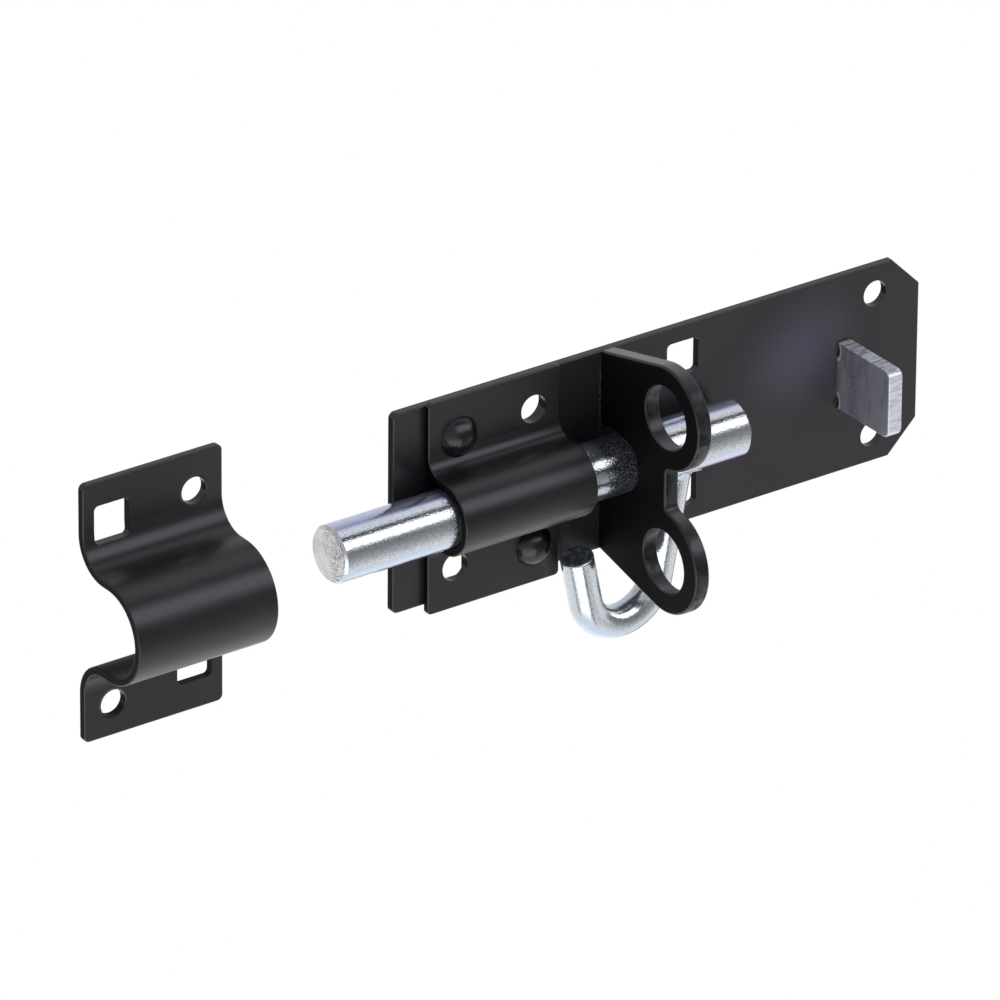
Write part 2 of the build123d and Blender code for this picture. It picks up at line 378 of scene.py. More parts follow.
@dataclass(frozen=True)
class Blemish:
    """A rub, stain or painted reflection on the coat: its middle, half sizes and strength."""

    middle: Triple
    reach: Triple
    strength: float
    colour: Triple
    ragged: bool = True
    scratch_scales: Triple = (900.0, 500.0, 2400.0)
    scratch_span: Span = (0.48, 0.62)
    ragged_span: Span = (1.0, 0.35)
    smooth_span: Span = (1.0, 0.0)
    roughening: float = 0.10

    def mask(self, graph: Graph) -> Wire:
        """Mask of the spot, broken up by scratches where it is ragged.

        Args:
            graph: The material's graph.

        Returns:
            A wire between 0 and the spot's strength.
        """
        local = graph.place(self.middle)
        near = graph.stretch(local, tuple(1.0 / reach for reach in self.reach))
        distance = graph.length(near)
        if not self.ragged:
            return distance.rises(*self.smooth_span) * self.strength
        scratches = graph.noise(
            graph.stretch(local, self.scratch_scales), detail=4.0, roughness=0.65, distortion=0.8
        )
        broken = scratches.rises(*self.scratch_span)
        return distance.rises(*self.ragged_span) * broken * self.strength

    def lay(self, graph: Graph, skin: Skin) -> None:
        """Lay the spot over the coat.

        Args:
            graph: The material's graph.
            skin: The coat so far.
        """
        mask = self.mask(graph)
        skin.colour = graph.blend(mask, skin.colour, self.colour)
        skin.rough = skin.rough + mask * self.roughening


@dataclass(frozen=True)
class PunchedHole:
    """A round hole whose front rim was drawn in by the punch."""

    x: float
    z: float
    radius: float
    roll: float = 0.6 * MM
    depth: float = 0.28 * MM

    def relief(self, graph: Graph, below: Optional[Wire]) -> Wire:
        """Bump of the drawn-in rim.

        Args:
            graph: The material's graph.
            below: Normal of the rims before this one.

        Returns:
            The bumped normal.
        """
        away = graph.length(graph.stretch(graph.place((self.x, 0.0, self.z)), (1, 0, 1)))
        drawn_in = away.rises(self.radius - self.roll / 2, self.radius + self.roll)
        return graph.relief(drawn_in, self.depth, below)


@dataclass(frozen=True)
class BlackCoat:
    """Satin charcoal-black coat on steel, with painted shade on the faces turned to the keep.

    Rims can be worn and take uneven painted shade, faces that point up a painted highlight,
    and a strap's inside can take painted shade below some height.
    """

    name: str
    base: Triple = (0.0078, 0.0068, 0.0077)
    dusty: Triple = (0.0118, 0.0103, 0.0116)
    cloud_scale: float = 45.0
    cloud_span: Span = (0.42, 0.75)
    grit_scale: float = 2600.0
    peel_scale: float = 520.0
    peel_share: float = 0.8
    peel_depth: float = 0.006 * MM
    roughness: float = 0.33
    cloud_roughness: float = 0.07
    grit_roughness: float = 0.10
    rim_span: Span = (0.75, 0.35)
    edge_strength: float = 0.0
    edge_colour: Triple = (0.030, 0.028, 0.030)
    edge_polish: float = 0.10
    line_scales: Triple = (2200.0, 140.0, 140.0)
    line_span: Span = (0.2, 0.75)
    line_height: float = 0.4
    # Painted highlight on faces that point up.
    top_highlight: Triple = (0.085, 0.078, 0.074)
    highlight_span: Span = (0.90, 0.99)
    # Painted shade: near-black colour, roughness and specular of the shaded faces.
    shade_colour: Triple = (0.0022, 0.0021, 0.0022)
    shade_roughness: float = 0.6
    shade_specular: float = 0.08
    keepward_span: Span = (-0.90, -0.985)
    # Painted shade on a strap's inside below this height.
    shade_below: Optional[float] = None
    shade_soft: float = 3.0 * MM
    shade_strength: float = 0.9
    inside_span: Span = (0.15, 0.5)
    # Strength of the uneven painted shade on the rims.
    rim_shade: float = 0.0
    below_top_span: Span = (0.92, 0.55)
    uneven_scale: float = 170.0
    uneven_span: Span = (0.62, 0.40)
    blemishes: tuple[Blemish, ...] = ()
    holes: tuple[PunchedHole, ...] = ()

    def wear_edges(self, graph: Graph, skin: Skin) -> None:
        """Lighten the rims in lines, and paint a highlight on their topmost faces all over.

        Args:
            graph: The material's graph.
            skin: The coat so far.
        """
        across, _, upward = graph.facing()
        lines = graph.noise(graph.stretch(graph.place(), self.line_scales), roughness=0.6)
        worn = abs(across).rises(*self.rim_span) * lines.rises(*self.line_span)
        worn = worn * self.edge_strength
        skin.colour = graph.blend(worn, skin.colour, self.edge_colour)
        # Painted highlight: faces that point up are lightened.
        skin.colour = graph.blend(upward.rises(*self.highlight_span), skin.colour, self.top_highlight)
        skin.rough = skin.rough - worn * self.edge_polish
        skin.height = skin.height + lines * worn * self.line_height

    def shade_mask(self, graph: Graph) -> Wire:
        """Mask of the painted shade, where the coat turns near black.

        Args:
            graph: The material's graph.

        Returns:
            0 on the satin coat and 1 where painted shade makes it near black.
        """
        where = graph.place()
        across, _, upward = graph.facing()
        # Painted shade on the faces turned to the keep (-X).
        dull = across.rises(*self.keepward_span)
        # Painted shade on a strap's inside, on faces that point up below some height.
        if self.shade_below is not None:
            _, _, above = graph.parts_of(where)
            low = above.rises(self.shade_below, self.shade_below - self.shade_soft)
            inside = upward.rises(*self.inside_span) * low
            dull = graph.math("MAXIMUM", dull, inside * self.shade_strength)
        # Painted shade in uneven patches on the rims below their tops.
        if self.rim_shade > 0:
            turned = abs(across).rises(*self.rim_span) * upward.rises(*self.below_top_span)
            uneven = graph.noise(where, self.uneven_scale, roughness=0.6)
            rim = turned * uneven.rises(*self.uneven_span) * self.rim_shade
            dull = graph.math("MAXIMUM", dull, rim)
        return dull

    def build(self) -> bpy.types.Material:
        """Make the material.

        Returns:
            The coat: orange peel, dust, worn edges, blemishes, painted highlight, reflection and
                shade.
        """
        material, graph = new_material(self.name)
        where = graph.place()
        cloud = graph.noise(where, self.cloud_scale, detail=4.0)
        grit = graph.noise(where, self.grit_scale, detail=2.0)
        peel = graph.noise(where, self.peel_scale, detail=2.0, roughness=0.45)
        uneven_cloud = self.cloud_roughness * (cloud - 0.5)
        uneven_grit = self.grit_roughness * (grit - 0.5)
        skin = Skin(
            colour=graph.blend(cloud.rises(*self.cloud_span), self.base, self.dusty),
            rough=self.roughness + uneven_cloud + uneven_grit,
            height=peel * self.peel_share + grit * (1 - self.peel_share),
        )
        if self.edge_strength > 0:
            self.wear_edges(graph, skin)
        for spot in self.blemishes:
            spot.lay(graph, skin)
        rims = None
        for hole in self.holes:
            rims = hole.relief(graph, rims)
        normal = graph.relief(skin.height, self.peel_depth, rims)
        satin = graph.shader(
            {"Base Color": skin.colour, "Roughness": skin.rough, "Normal": normal}
        )
        # Painted shade: a near-black, weakly specular shader laid where the shade mask is 1.
        shaded_coat = graph.shader(
            {
                "Base Color": (*self.shade_colour, 1.0),
                "Roughness": self.shade_roughness,
                "Specular IOR Level": self.shade_specular,
                "Normal": normal,
            }
        )
        shaders = {0: self.shade_mask(graph), 1: satin.outputs[0], 2: shaded_coat.outputs[0]}
        graph.end(graph.node("ShaderNodeMixShader", {}, shaders))
        return material


@dataclass(frozen=True)
class Tint:
    """Passivation colour by which way a face turns, up or down: a painted reflection colour."""

    colour: Triple
    upward_span: Span
    strength: float = 1.0

    def over(
        self, graph: Graph, below: Wire, upward: Wire, share: Union[Wire, float] = 1.0
    ) -> Wire:
        """Lay the tint over a colour.

        Args:
            graph: The material's graph.
            below: The colour so far.
            upward: Z of the surface's normal.
            share: How much of the tint each place gets.

        Returns:
            The tinted colour.
        """
        mask = upward.rises(*self.upward_span) * share * self.strength
        return graph.blend(mask, below, self.colour)


@dataclass(frozen=True)
class Scorch:
    """A stretch of the bar that heat has darkened in flecks."""

    start: float
    end: float
    soft: float = 1.5 * MM
    colour: Triple = (0.030, 0.036, 0.065)
    fleck_scale: float = 2600.0
    fleck_span: Span = (0.56, 0.49)
    strength: float = 0.9
    roughening: float = 0.12

    def lay(self, graph: Graph, skin: Skin) -> None:
        """Lay the stretch over the plating.

        Args:
            graph: The material's graph.
            skin: The plating so far.
        """
        where = graph.place()
        along, _, _ = graph.parts_of(where)
        flecks = graph.noise(where, self.fleck_scale, detail=2.0, roughness=0.6)
        mask = along.within(self.start, self.end, self.soft) * flecks.rises(*self.fleck_span)
        mask = mask * self.strength
        skin.colour = graph.blend(mask, skin.colour, self.colour)
        skin.rough = skin.rough + mask * self.roughening


@dataclass(frozen=True)
class SawnEnds:
    """The bar's two sawn ends: dull, with curved saw marks that are stronger on one side."""

    front: float
    rear: float
    edge_from: float = 0.25 * MM
    edge_to: float = 0.05 * MM
    middle: Triple = mm(0.0, -11.5, 1.5)
    colour: Triple = (0.72, 0.72, 0.72)
    mark_colour: Triple = (0.11, 0.105, 0.105)
    around_scale: float = 1.6
    outward_scale: float = 2500.0
    along_scale: float = 300.0
    mark_span: Span = (0.46, 0.56)
    patch_span: Span = (0.32, 0.54)
    strong_side: Span = mm(5.0, -2.0)
    weak_share: float = 0.35
    mark_strength: float = 0.9
    mark_height: float = 0.8
    metal_loss: float = 0.45
    roughening: float = 0.31

    def lay(self, graph: Graph, skin: Skin) -> None:
        """Lay the ends over the plating.

        Args:
            graph: The material's graph.
            skin: The plating so far.
        """
        along, _, _ = graph.parts_of(graph.place())
        ends = along.rises(self.front + self.edge_from, self.front + self.edge_to)
        ends = ends + along.rises(self.rear - self.edge_from, self.rear - self.edge_to)
        _, beside, above = graph.parts_of(graph.place(self.middle))
        arc = graph.add(
            "ShaderNodeCombineXYZ",
            {},
            {
                0: (beside**2 + above**2) ** 0.5 * self.outward_scale,
                1: graph.math("ARCTAN2", above, beside) * self.around_scale,
                2: along * self.along_scale,
            },
        )
        swirl = graph.noise(arc, detail=4.0, roughness=0.7, distortion=1.6)
        marks = swirl.rises(*self.mark_span) * skin.patches.rises(*self.patch_span)
        side = beside.rises(*self.strong_side)
        marks = marks * (self.weak_share + (1 - self.weak_share) * side)
        sawn = graph.blend(marks * self.mark_strength, self.colour, self.mark_colour)
        skin.colour = graph.blend(ends, skin.colour, sawn)
        skin.metal = skin.metal - ends * self.metal_loss
        skin.rough = skin.rough + ends * self.roughening
        skin.height = skin.height + marks * ends * self.mark_height


@dataclass(frozen=True)
class SlateEnd:
    """The hook's cut tip, which points up and is dark as slate, on the keep's side of an X."""

    x: float
    soft: float = 1.0 * MM
    colour: Triple = (0.040, 0.052, 0.066)
    chip_colour: Triple = (0.19, 0.21, 0.24)
    chip_scale: float = 900.0
    chip_span: Span = (0.45, 0.66)
    upward_span: Span = (0.86, 0.93)
    metal_loss: float = 0.7
    roughening: float = 0.35

    def lay(self, graph: Graph, skin: Skin) -> None:
        """Lay the tip over the plating.

        Args:
            graph: The material's graph.
            skin: The plating so far.
        """
        where = graph.place()
        along, _, _ = graph.parts_of(where)
        _, _, upward = graph.facing()
        tip = upward.rises(*self.upward_span) * along.rises(self.x + self.soft, self.x)
        chips = graph.noise(where, self.chip_scale, detail=4.0, roughness=0.7)
        slate = graph.blend(chips.rises(*self.chip_span), self.colour, self.chip_colour)
        skin.colour = graph.blend(tip, skin.colour, slate)
        skin.metal = skin.metal - tip * self.metal_loss
        skin.rough = skin.rough + tip * self.roughening


@dataclass(frozen=True)
class ZincPlate:
    """Bright zinc plating over drawn steel."""

    name: str
    grain: Grain = Grain.ALONG_X
    line_scales: Pair = (40.0, 1100.0)
    bright: Triple = (0.68, 0.72, 0.73)
    dull: Triple = (0.46, 0.51, 0.51)
    crystal_scale: float = 2300.0
    crystal_span: Span = (0.30, 0.66)
    crystal_share: float = 0.6
    patch_scale: float = 140.0
    speck_colour: Triple = (0.05, 0.05, 0.07)
    speck_amount: float = 0.35
    speck_crystal_span: Span = (0.56, 0.66)
    speck_patch_span: Span = (0.52, 0.66)
    speck_roughening: float = 0.16
    # Tints by facing: passivation colours laid as painted reflection colour, blue and pink below,
    # lavender on top.
    blue: Tint = Tint((0.46, 0.59, 0.76), (-0.10, -0.55), 0.85)
    pink: Tint = Tint((0.76, 0.48, 0.72), (-0.58, -0.82))
    pink_scale: float = 55.0
    pink_span: Span = (0.47, 0.60)
    rosy: Tint = Tint((0.76, 0.48, 0.72), (-0.45, -0.75), 0.9)
    rosy_from_x: Optional[float] = None
    rosy_soft: float = 8.0 * MM
    lavender: Tint = Tint((0.57, 0.61, 0.79), (0.86, 0.97), 0.9)
    roughness: float = 0.11
    line_roughness: float = 0.08
    patch_roughness: float = 0.10
    metallic: float = 0.90
    grain_depth: float = 0.016 * MM
    ragged_depth: float = 0.034 * MM
    ragged_scales: Pair = (1400.0, 3100.0)
    zones: tuple[Union[Scorch, SawnEnds, SlateEnd], ...] = ()

    def tinted(self, graph: Graph, colour: Wire) -> Wire:
        """Lay the passivation tints, painted reflection colours by facing, over the plating's
        colour.

        Args:
            graph: The material's graph.
            colour: The colour so far.

        Returns:
            The tinted colour.
        """
        where = graph.place()
        _, _, upward = graph.facing()
        # Painted reflection colours laid by facing: blue and pink below, lavender on top.
        colour = self.blue.over(graph, colour, upward)
        rosy_patches = graph.noise(where, self.pink_scale, detail=2.0).rises(*self.pink_span)
        colour = self.pink.over(graph, colour, upward, rosy_patches)
        if self.rosy_from_x is not None:
            along, _, _ = graph.parts_of(where)
            rear = along.rises(self.rosy_from_x, self.rosy_from_x + self.rosy_soft)
            colour = self.rosy.over(graph, colour, upward, rear)
        return self.lavender.over(graph, colour, upward)

    def build(self) -> bpy.types.Material:
        """Make the material.

        Returns:
            The plating, with drawn lines, crystals, specks, its zones and passivation tints laid by
            facing as painted reflection colours.
        """
        material, graph = new_material(self.name)
        where = graph.place()
        lines = graph.noise(
            graph.stretch(where, self.grain.scales(*self.line_scales)), detail=4.0, roughness=0.6
        )
        crystal = graph.noise(where, self.crystal_scale, roughness=0.65)
        patches = graph.noise(
            where, self.patch_scale, detail=5.0, roughness=0.62, distortion=0.4
        )
        colour = graph.blend(crystal.rises(*self.crystal_span), self.dull, self.bright)
        specks = crystal.rises(*self.speck_crystal_span) * patches.rises(*self.speck_patch_span)
        specks = specks * self.speck_amount
        rough = self.roughness + self.line_roughness * (lines - 0.5)
        rough = rough + self.patch_roughness * (patches - 0.5)
        skin = Skin(
            colour=graph.blend(specks, self.tinted(graph, colour), self.speck_colour),
            rough=rough + self.speck_roughening * specks,
            height=crystal * self.crystal_share + lines * (1 - self.crystal_share),
            metal=self.metallic,
            patches=patches,
        )
        for zone in self.zones:
            zone.lay(graph, skin)
        ragged = graph.noise(
            graph.stretch(where, self.grain.scales(*self.ragged_scales)),
            detail=2.0,
            roughness=0.6,
        )
        coarse = graph.relief(ragged, self.ragged_depth)
        graph.end(
            graph.shader(
                {
                    "Base Color": skin.colour,
                    "Roughness": skin.rough,
                    "Metallic": skin.metal,
                    "Normal": graph.relief(skin.height, self.grain_depth, coarse),
                }
            )
        )
        return material


@dataclass(frozen=True)
class ShearedZinc:
    """Dull zinc plate cut to size by shearing, as the stop tab is, torn where it is staked."""

    name: str
    face: Triple = (0.37, 0.38, 0.44)
    rolled: Triple = (0.22, 0.225, 0.26)
    streak_scales: Triple = (60.0, 260.0, 90.0)
    streak_span: Span = (0.42, 0.70)
    streak_share: float = 0.8
    grit_scale: float = 1500.0
    grit_span: Span = (0.5, 0.75)
    grit_height: float = 0.6
    pitted: Triple = (0.10, 0.10, 0.12)
    pitted_y: Pair = mm(-9.2, -7.2)
    pitted_soft: float = 1.8 * MM
    pitted_span: Span = (0.38, 0.60)
    pitted_strength: float = 0.75
    edge_span: Span = (0.8, 0.45)
    edge: Triple = (0.70, 0.73, 0.77)
    stripe: Triple = (0.27, 0.28, 0.32)
    stripe_scales: Triple = (180.0, 1300.0, 1300.0)
    stripe_span: Span = (0.44, 0.64)
    stripe_top_span: Span = (0.3, 0.8)
    stripe_side_share: float = 0.45
    # Painted shade in the torn notches and a painted highlight on their curled lips.
    notch_shade: Triple = (0.012, 0.011, 0.010)
    curl_highlight: Triple = (0.90, 0.90, 0.92)
    torn_middles: tuple[Triple, ...] = (mm(51.3, -2.2, 6.6), mm(51.3, -2.2, -6.9))
    torn_shape: Triple = (1.0, 1.1, 0.55)
    notch_reach: Span = mm(1.15, 0.7)
    notch_span: Span = (0.34, 0.44)
    curl_reach: Pair = mm(1.15, 1.5)
    curl_soft: float = 0.25 * MM
    curl_span: Span = (0.36, 0.50)
    roughness: float = 0.40
    grit_roughness: float = 0.15
    edge_polish: float = 0.05
    metallic: float = 0.70
    edge_metal_loss: float = 0.20
    depth: float = 0.012 * MM

    def build(self) -> bpy.types.Material:
        """Make the material.

        Returns:
            Streaky rolled faces, bright striped edges, a pitted column, and torn notches with
            painted shade and a painted highlight on their curled lips.
        """
        material, graph = new_material(self.name)
        where = graph.place()
        _, outward, _ = graph.parts_of(where)
        across, _, upward = graph.facing()
        edge = abs(across).rises(*self.edge_span)
        grit = graph.noise(where, self.grit_scale, roughness=0.65)
        streaks = graph.noise(
            graph.stretch(where, self.streak_scales), roughness=0.55, distortion=0.4
        )
        mottle = streaks.rises(*self.streak_span) * self.streak_share
        mottle = mottle + grit.rises(*self.grit_span) * (1 - self.streak_share)
        face = graph.blend(mottle, self.face, self.rolled)
        column = outward.within(*self.pitted_y, self.pitted_soft) * grit.rises(*self.pitted_span)
        face = graph.blend(column * self.pitted_strength, face, self.pitted)
        for middle in self.torn_middles:
            away = graph.length(graph.stretch(graph.place(middle), self.torn_shape))
            # Painted shade in the notch, then a painted highlight on its curled lip.
            torn = away.rises(*self.notch_reach) * grit.rises(*self.notch_span)
            face = graph.blend(torn, face, self.notch_shade)
            curl_highlight = away.within(*self.curl_reach, self.curl_soft) * streaks.rises(*self.curl_span)
            face = graph.blend(curl_highlight, face, self.curl_highlight)
        stripes = graph.noise(graph.stretch(where, self.stripe_scales), roughness=0.6)
        top = upward.rises(*self.stripe_top_span)
        shown = self.stripe_side_share + (1 - self.stripe_side_share) * top
        rim = graph.blend(stripes.rises(*self.stripe_span) * shown, self.edge, self.stripe)
        rough = self.roughness - self.edge_polish * edge + self.grit_roughness * (grit - 0.5)
        graph.end(
            graph.shader(
                {
                    "Base Color": graph.blend(edge, face, rim),
                    "Roughness": rough,
                    "Metallic": self.metallic - self.edge_metal_loss * edge,
                    "Normal": graph.relief(stripes * edge + grit * self.grit_height, self.depth),
                }
            )
        )
        return material


def dress(node: str, material: bpy.types.Material) -> None:
    """Give a solid its finish.

    Args:
        node: The solid's node.
        material: The finish.
    """
    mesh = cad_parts[node].data
    mesh.materials.clear()
    mesh.materials.append(material)
    LOG.info("%s: %s", node, material.name)


def loose_points(name: str, points: list[Vector], closed: bool = False) -> bpy.types.Object:
    """Make a mesh of points, joined in a loop where asked.

    Args:
        name: The object's name.
        points: The points, in metres.
        closed: True joins each point to the next, and the last to the first.

    Returns:
        The object, at the origin.
    """
    count = len(points)
    edges = [(i, (i + 1) % count) for i in range(count)] if closed else []
    mesh = bpy.data.meshes.new(name)
    mesh.from_pydata([tuple(p) for p in points], edges, [])
    shown = bpy.data.objects.new(name, mesh)
    bpy.context.scene.collection.objects.link(shown)
    return shown


def grow(shown: bpy.types.Object, tree: bpy.types.NodeTree, values: dict) -> bpy.types.Object:
    """Run a Geometry Nodes tree on an object and keep its result as a plain mesh.

    Args:
        shown: The object that carries the points.
        tree: The tree.
        values: The tree's inputs by name.

    Returns:
        The object, with the grown mesh and no modifier.
    """
    modifier = shown.modifiers.new("grow", "NODES")
    modifier.node_group = tree
    for item in tree.interface.items_tree:
        if item.item_type == "SOCKET" and item.in_out == "INPUT" and item.name in values:
            modifier[item.identifier] = values[item.name]
    bpy.context.view_layer.update()
    evaluated = shown.evaluated_get(bpy.context.evaluated_depsgraph_get())
    grown = bpy.data.meshes.new_from_object(evaluated)
    shown.modifiers.remove(modifier)
    shown.data = grown
    LOG.info("%s: %d faces", shown.name, len(grown.polygons))
    return shown


def start_tree(name: str, values: dict[str, Number]) -> tuple[Graph, bpy.types.Node]:
    """Start a Geometry Nodes tree with named inputs.

    Args:
        name: The tree's name.
        values: Input name to its default; a whole number makes an integer socket.

    Returns:
        The graph and its group input.
    """
    tree = bpy.data.node_groups.new(name, "GeometryNodeTree")
    tree.interface.new_socket("Geometry", in_out="INPUT", socket_type="NodeSocketGeometry")
    for label, value in values.items():
        kind = "NodeSocketInt" if isinstance(value, int) else "NodeSocketFloat"
        socket = tree.interface.new_socket(label, in_out="INPUT", socket_type=kind)
        socket.default_value = value
    tree.interface.new_socket("Geometry", in_out="OUTPUT", socket_type="NodeSocketGeometry")
    graph = Graph(tree)
    return graph, graph.node("NodeGroupInput")


def end_tree(graph: Graph, instances: Wire, material: bpy.types.Material) -> bpy.types.NodeTree:
    """End a Geometry Nodes tree: realise, smooth, set the material.

    Args:
        graph: The tree's graph.
        instances: The instances.
        material: Their finish.

    Returns:
        The tree.
    """
    real = graph.add("GeometryNodeRealizeInstances", {}, {0: instances})
    smooth = graph.add("GeometryNodeSetShadeSmooth", {}, {"Geometry": real})
    dressed = graph.add(
        "GeometryNodeSetMaterial", {}, {"Geometry": smooth, "Material": material}
    )
    graph.node("NodeGroupOutput", {}, {0: dressed})
    return graph.tree


@dataclass(frozen=True)
class BeadRow:
    """Beads of uneven size along a closed loop."""

    radius: float
    count: int
    seed: int
    fineness: int
    smallest: Triple
    largest: Triple

    def build(
        self, name: str, loop: list[Vector], material: bpy.types.Material
    ) -> bpy.types.Object:
        """Make the row.

        Args:
            name: The object's name.
            loop: Points of the loop, in metres.
            material: The beads' finish.

        Returns:
            One mesh of overlapping beads.
        """
        values = {"Bead radius": self.radius, "Count": self.count, "Seed": self.seed}
        graph, given = start_tree(f"{name}_nodes", values)
        line = graph.add("GeometryNodeMeshToCurve", {}, {"Mesh": given.outputs["Geometry"]})
        points = graph.add(
            "GeometryNodeResampleCurve", {}, {"Curve": line, "Count": given.outputs["Count"]}
        )
        bead = graph.add(
            "GeometryNodeMeshIcoSphere",
            {},
            {"Radius": given.outputs["Bead radius"], "Subdivisions": self.fineness},
        )
        size = graph.add(
            "FunctionNodeRandomValue",
            {"data_type": "FLOAT_VECTOR"},
            {0: self.smallest, 1: self.largest, "Seed": given.outputs["Seed"]},
        )
        placed = graph.add(
            "GeometryNodeInstanceOnPoints",
            {},
            {"Points": points, "Instance": bead, "Scale": size},
        )
        tree = end_tree(graph, placed, material)
        return grow(loose_points(name, loop, closed=True), tree, values)


@dataclass
class Sheetwork:
    """The black coated pieces: back plate, saddle, hasp plate, keep and rivets."""

    saddle_front: float = -3.8 * MM
    rivet_x: Pair = mm(-57.9, -36.65)
    rivet_z: Pair = mm(16.1, -18.1)
    snap_radius: float = 5.05 * MM
    snap_thickness: float = 0.12 * MM
    snap_steps: int = 64
    snap_section_steps: int = 10
    keep_holes: tuple[PunchedHole, ...] = (
        PunchedHole(*mm(-129.7, 22.35, 3.3)),
        PunchedHole(*mm(-151.9, -24.95, 3.3)),
    )
    # Height below which the keep's inside takes painted shade.
    keep_shade_below: float = -5.0 * MM
    hasp_rubs: tuple[Blemish, ...] = (
        Blemish(mm(-14.7, -38.6, 13.2), mm(2.8, 2.6, 4.0), 0.85, (0.15, 0.14, 0.13)),
        Blemish(mm(-14.7, -38.8, -25.0), mm(2.6, 3.0, 6.0), 0.45, (0.10, 0.095, 0.09)),
    )
    # Painted reflection of the zinc stop tab: a soft bluish patch on the plate beside it.
    painted_tab_reflection: Blemish = Blemish(
        mm(41.0, -2.0, 9.0), mm(21.0, 1.9, 17.0), 0.75, (0.062, 0.063, 0.092), ragged=False
    )
    chipped: Blemish = Blemish(
        mm(-16.9, -2.0, 13.5), mm(0.45, 1.0, 12.0), 0.9, (0.20, 0.19, 0.18)
    )
    stains: tuple[Blemish, ...] = tuple(
        Blemish(mm(53.3, -2.0, z), mm(4.6, 1.9, 3.0), 0.7, (0.060, 0.042, 0.026))
        for z in (8.8, -8.8)
    )

    def coats(self) -> dict[str, BlackCoat]:
        """The coat of each piece.

        Returns:
            Node name to its coat.
        """
        coats = {"bolt_saddle": BlackCoat("coat_bolt_saddle")}
        for node in ("rivet_upper", "rivet_lower"):
            coats[node] = BlackCoat(
                f"coat_{node}",
                base=(0.0040, 0.0035, 0.0040),
                dusty=(0.0060, 0.0053, 0.0060),
                roughness=0.26,
            )
        coats["keep"] = BlackCoat(
            "coat_keep", holes=self.keep_holes, shade_below=self.keep_shade_below
        )
        coats["back_plate"] = BlackCoat(
            "coat_back_plate",
            base=(0.0115, 0.0102, 0.0116),
            dusty=(0.0150, 0.0135, 0.0152),
            blemishes=(self.painted_tab_reflection, self.chipped, *self.stains),
        )
        # The hasp's rims take worn lines, uneven painted shade and a painted highlight on their
        # tops.
        coats["hasp_plate"] = BlackCoat(
            "coat_hasp_plate", edge_strength=0.25, rim_shade=0.75, blemishes=self.hasp_rubs
        )
        return coats

    def snap_marks(self, coat: bpy.types.Material) -> bpy.types.Object:
        """Rings that the rivet snap left on the saddle.

        Args:
            coat: The saddle's coat.

        Returns:
            One mesh with a ring round each rivet.
        """
        values = {
            "Ring radius": self.snap_radius,
            "Thickness": self.snap_thickness,
            "Steps": self.snap_steps,
        }
        graph, given = start_tree("rivet_snap_marks_nodes", values)
        ring = graph.add(
            "GeometryNodeCurvePrimitiveCircle",
            {"mode": "RADIUS"},
            {"Resolution": given.outputs["Steps"], "Radius": given.outputs["Ring radius"]},
        )
        section = graph.add(
            "GeometryNodeCurvePrimitiveCircle",
            {"mode": "RADIUS"},
            {"Resolution": self.snap_section_steps, "Radius": given.outputs["Thickness"]},
        )
        tube = graph.add("GeometryNodeCurveToMesh", {}, {0: ring, 1: section})
        upright = (math.pi / 2, 0.0, 0.0)
        placed = graph.add(
            "GeometryNodeInstanceOnPoints",
            {},
            {"Points": given.outputs["Geometry"], "Instance": tube, "Rotation": upright},
        )
        tree = end_tree(graph, placed, coat)
        middles = [
            Vector((x, self.saddle_front, z)) for x, z in zip(self.rivet_x, self.rivet_z)
        ]
        return grow(loose_points("rivet_snap_marks", middles), tree, values)

    def build(self) -> None:
        """Dress the black pieces and add the snap marks."""
        made = {}
        for node, coat in self.coats().items():
            made[node] = coat.build()
            dress(node, made[node])
        marks = self.snap_marks(made["bolt_saddle"])
        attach(marks, "root")


@dataclass
class StopTab:
    """The zinc plated tab, and the burr where it is staked into the plate."""

    left: float = 51.3 * MM
    right: float = 55.3 * MM
    half_height: float = 8.5 * MM
    plate_front: float = -2.0 * MM
    burr: BeadRow = BeadRow(
        radius=0.45 * MM,
        count=74,
        seed=7,
        fineness=2,
        smallest=(0.5, 0.25, 0.6),
        largest=(1.3, 0.75, 1.7),
    )

    def root(self) -> list[Vector]:
        """Corners of the tab where it leaves the plate.

        Returns:
            The corners, in metres, in their order round the tab.
        """
        corners = (
            (self.left, self.half_height),
            (self.right, self.half_height),
            (self.right, -self.half_height),
            (self.left, -self.half_height),
        )
        return [Vector((x, self.plate_front, z)) for x, z in corners]

    def build(self) -> None:
        """Dress the tab and add its burr."""
        dress("stop_tab", ShearedZinc("zinc_stop_tab").build())
        coat = BlackCoat("coat_burr", base=(0.012, 0.010, 0.009), roughness=0.5).build()
        burr = self.burr.build("tab_stake_burr", self.root(), coat)
        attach(burr, "root")


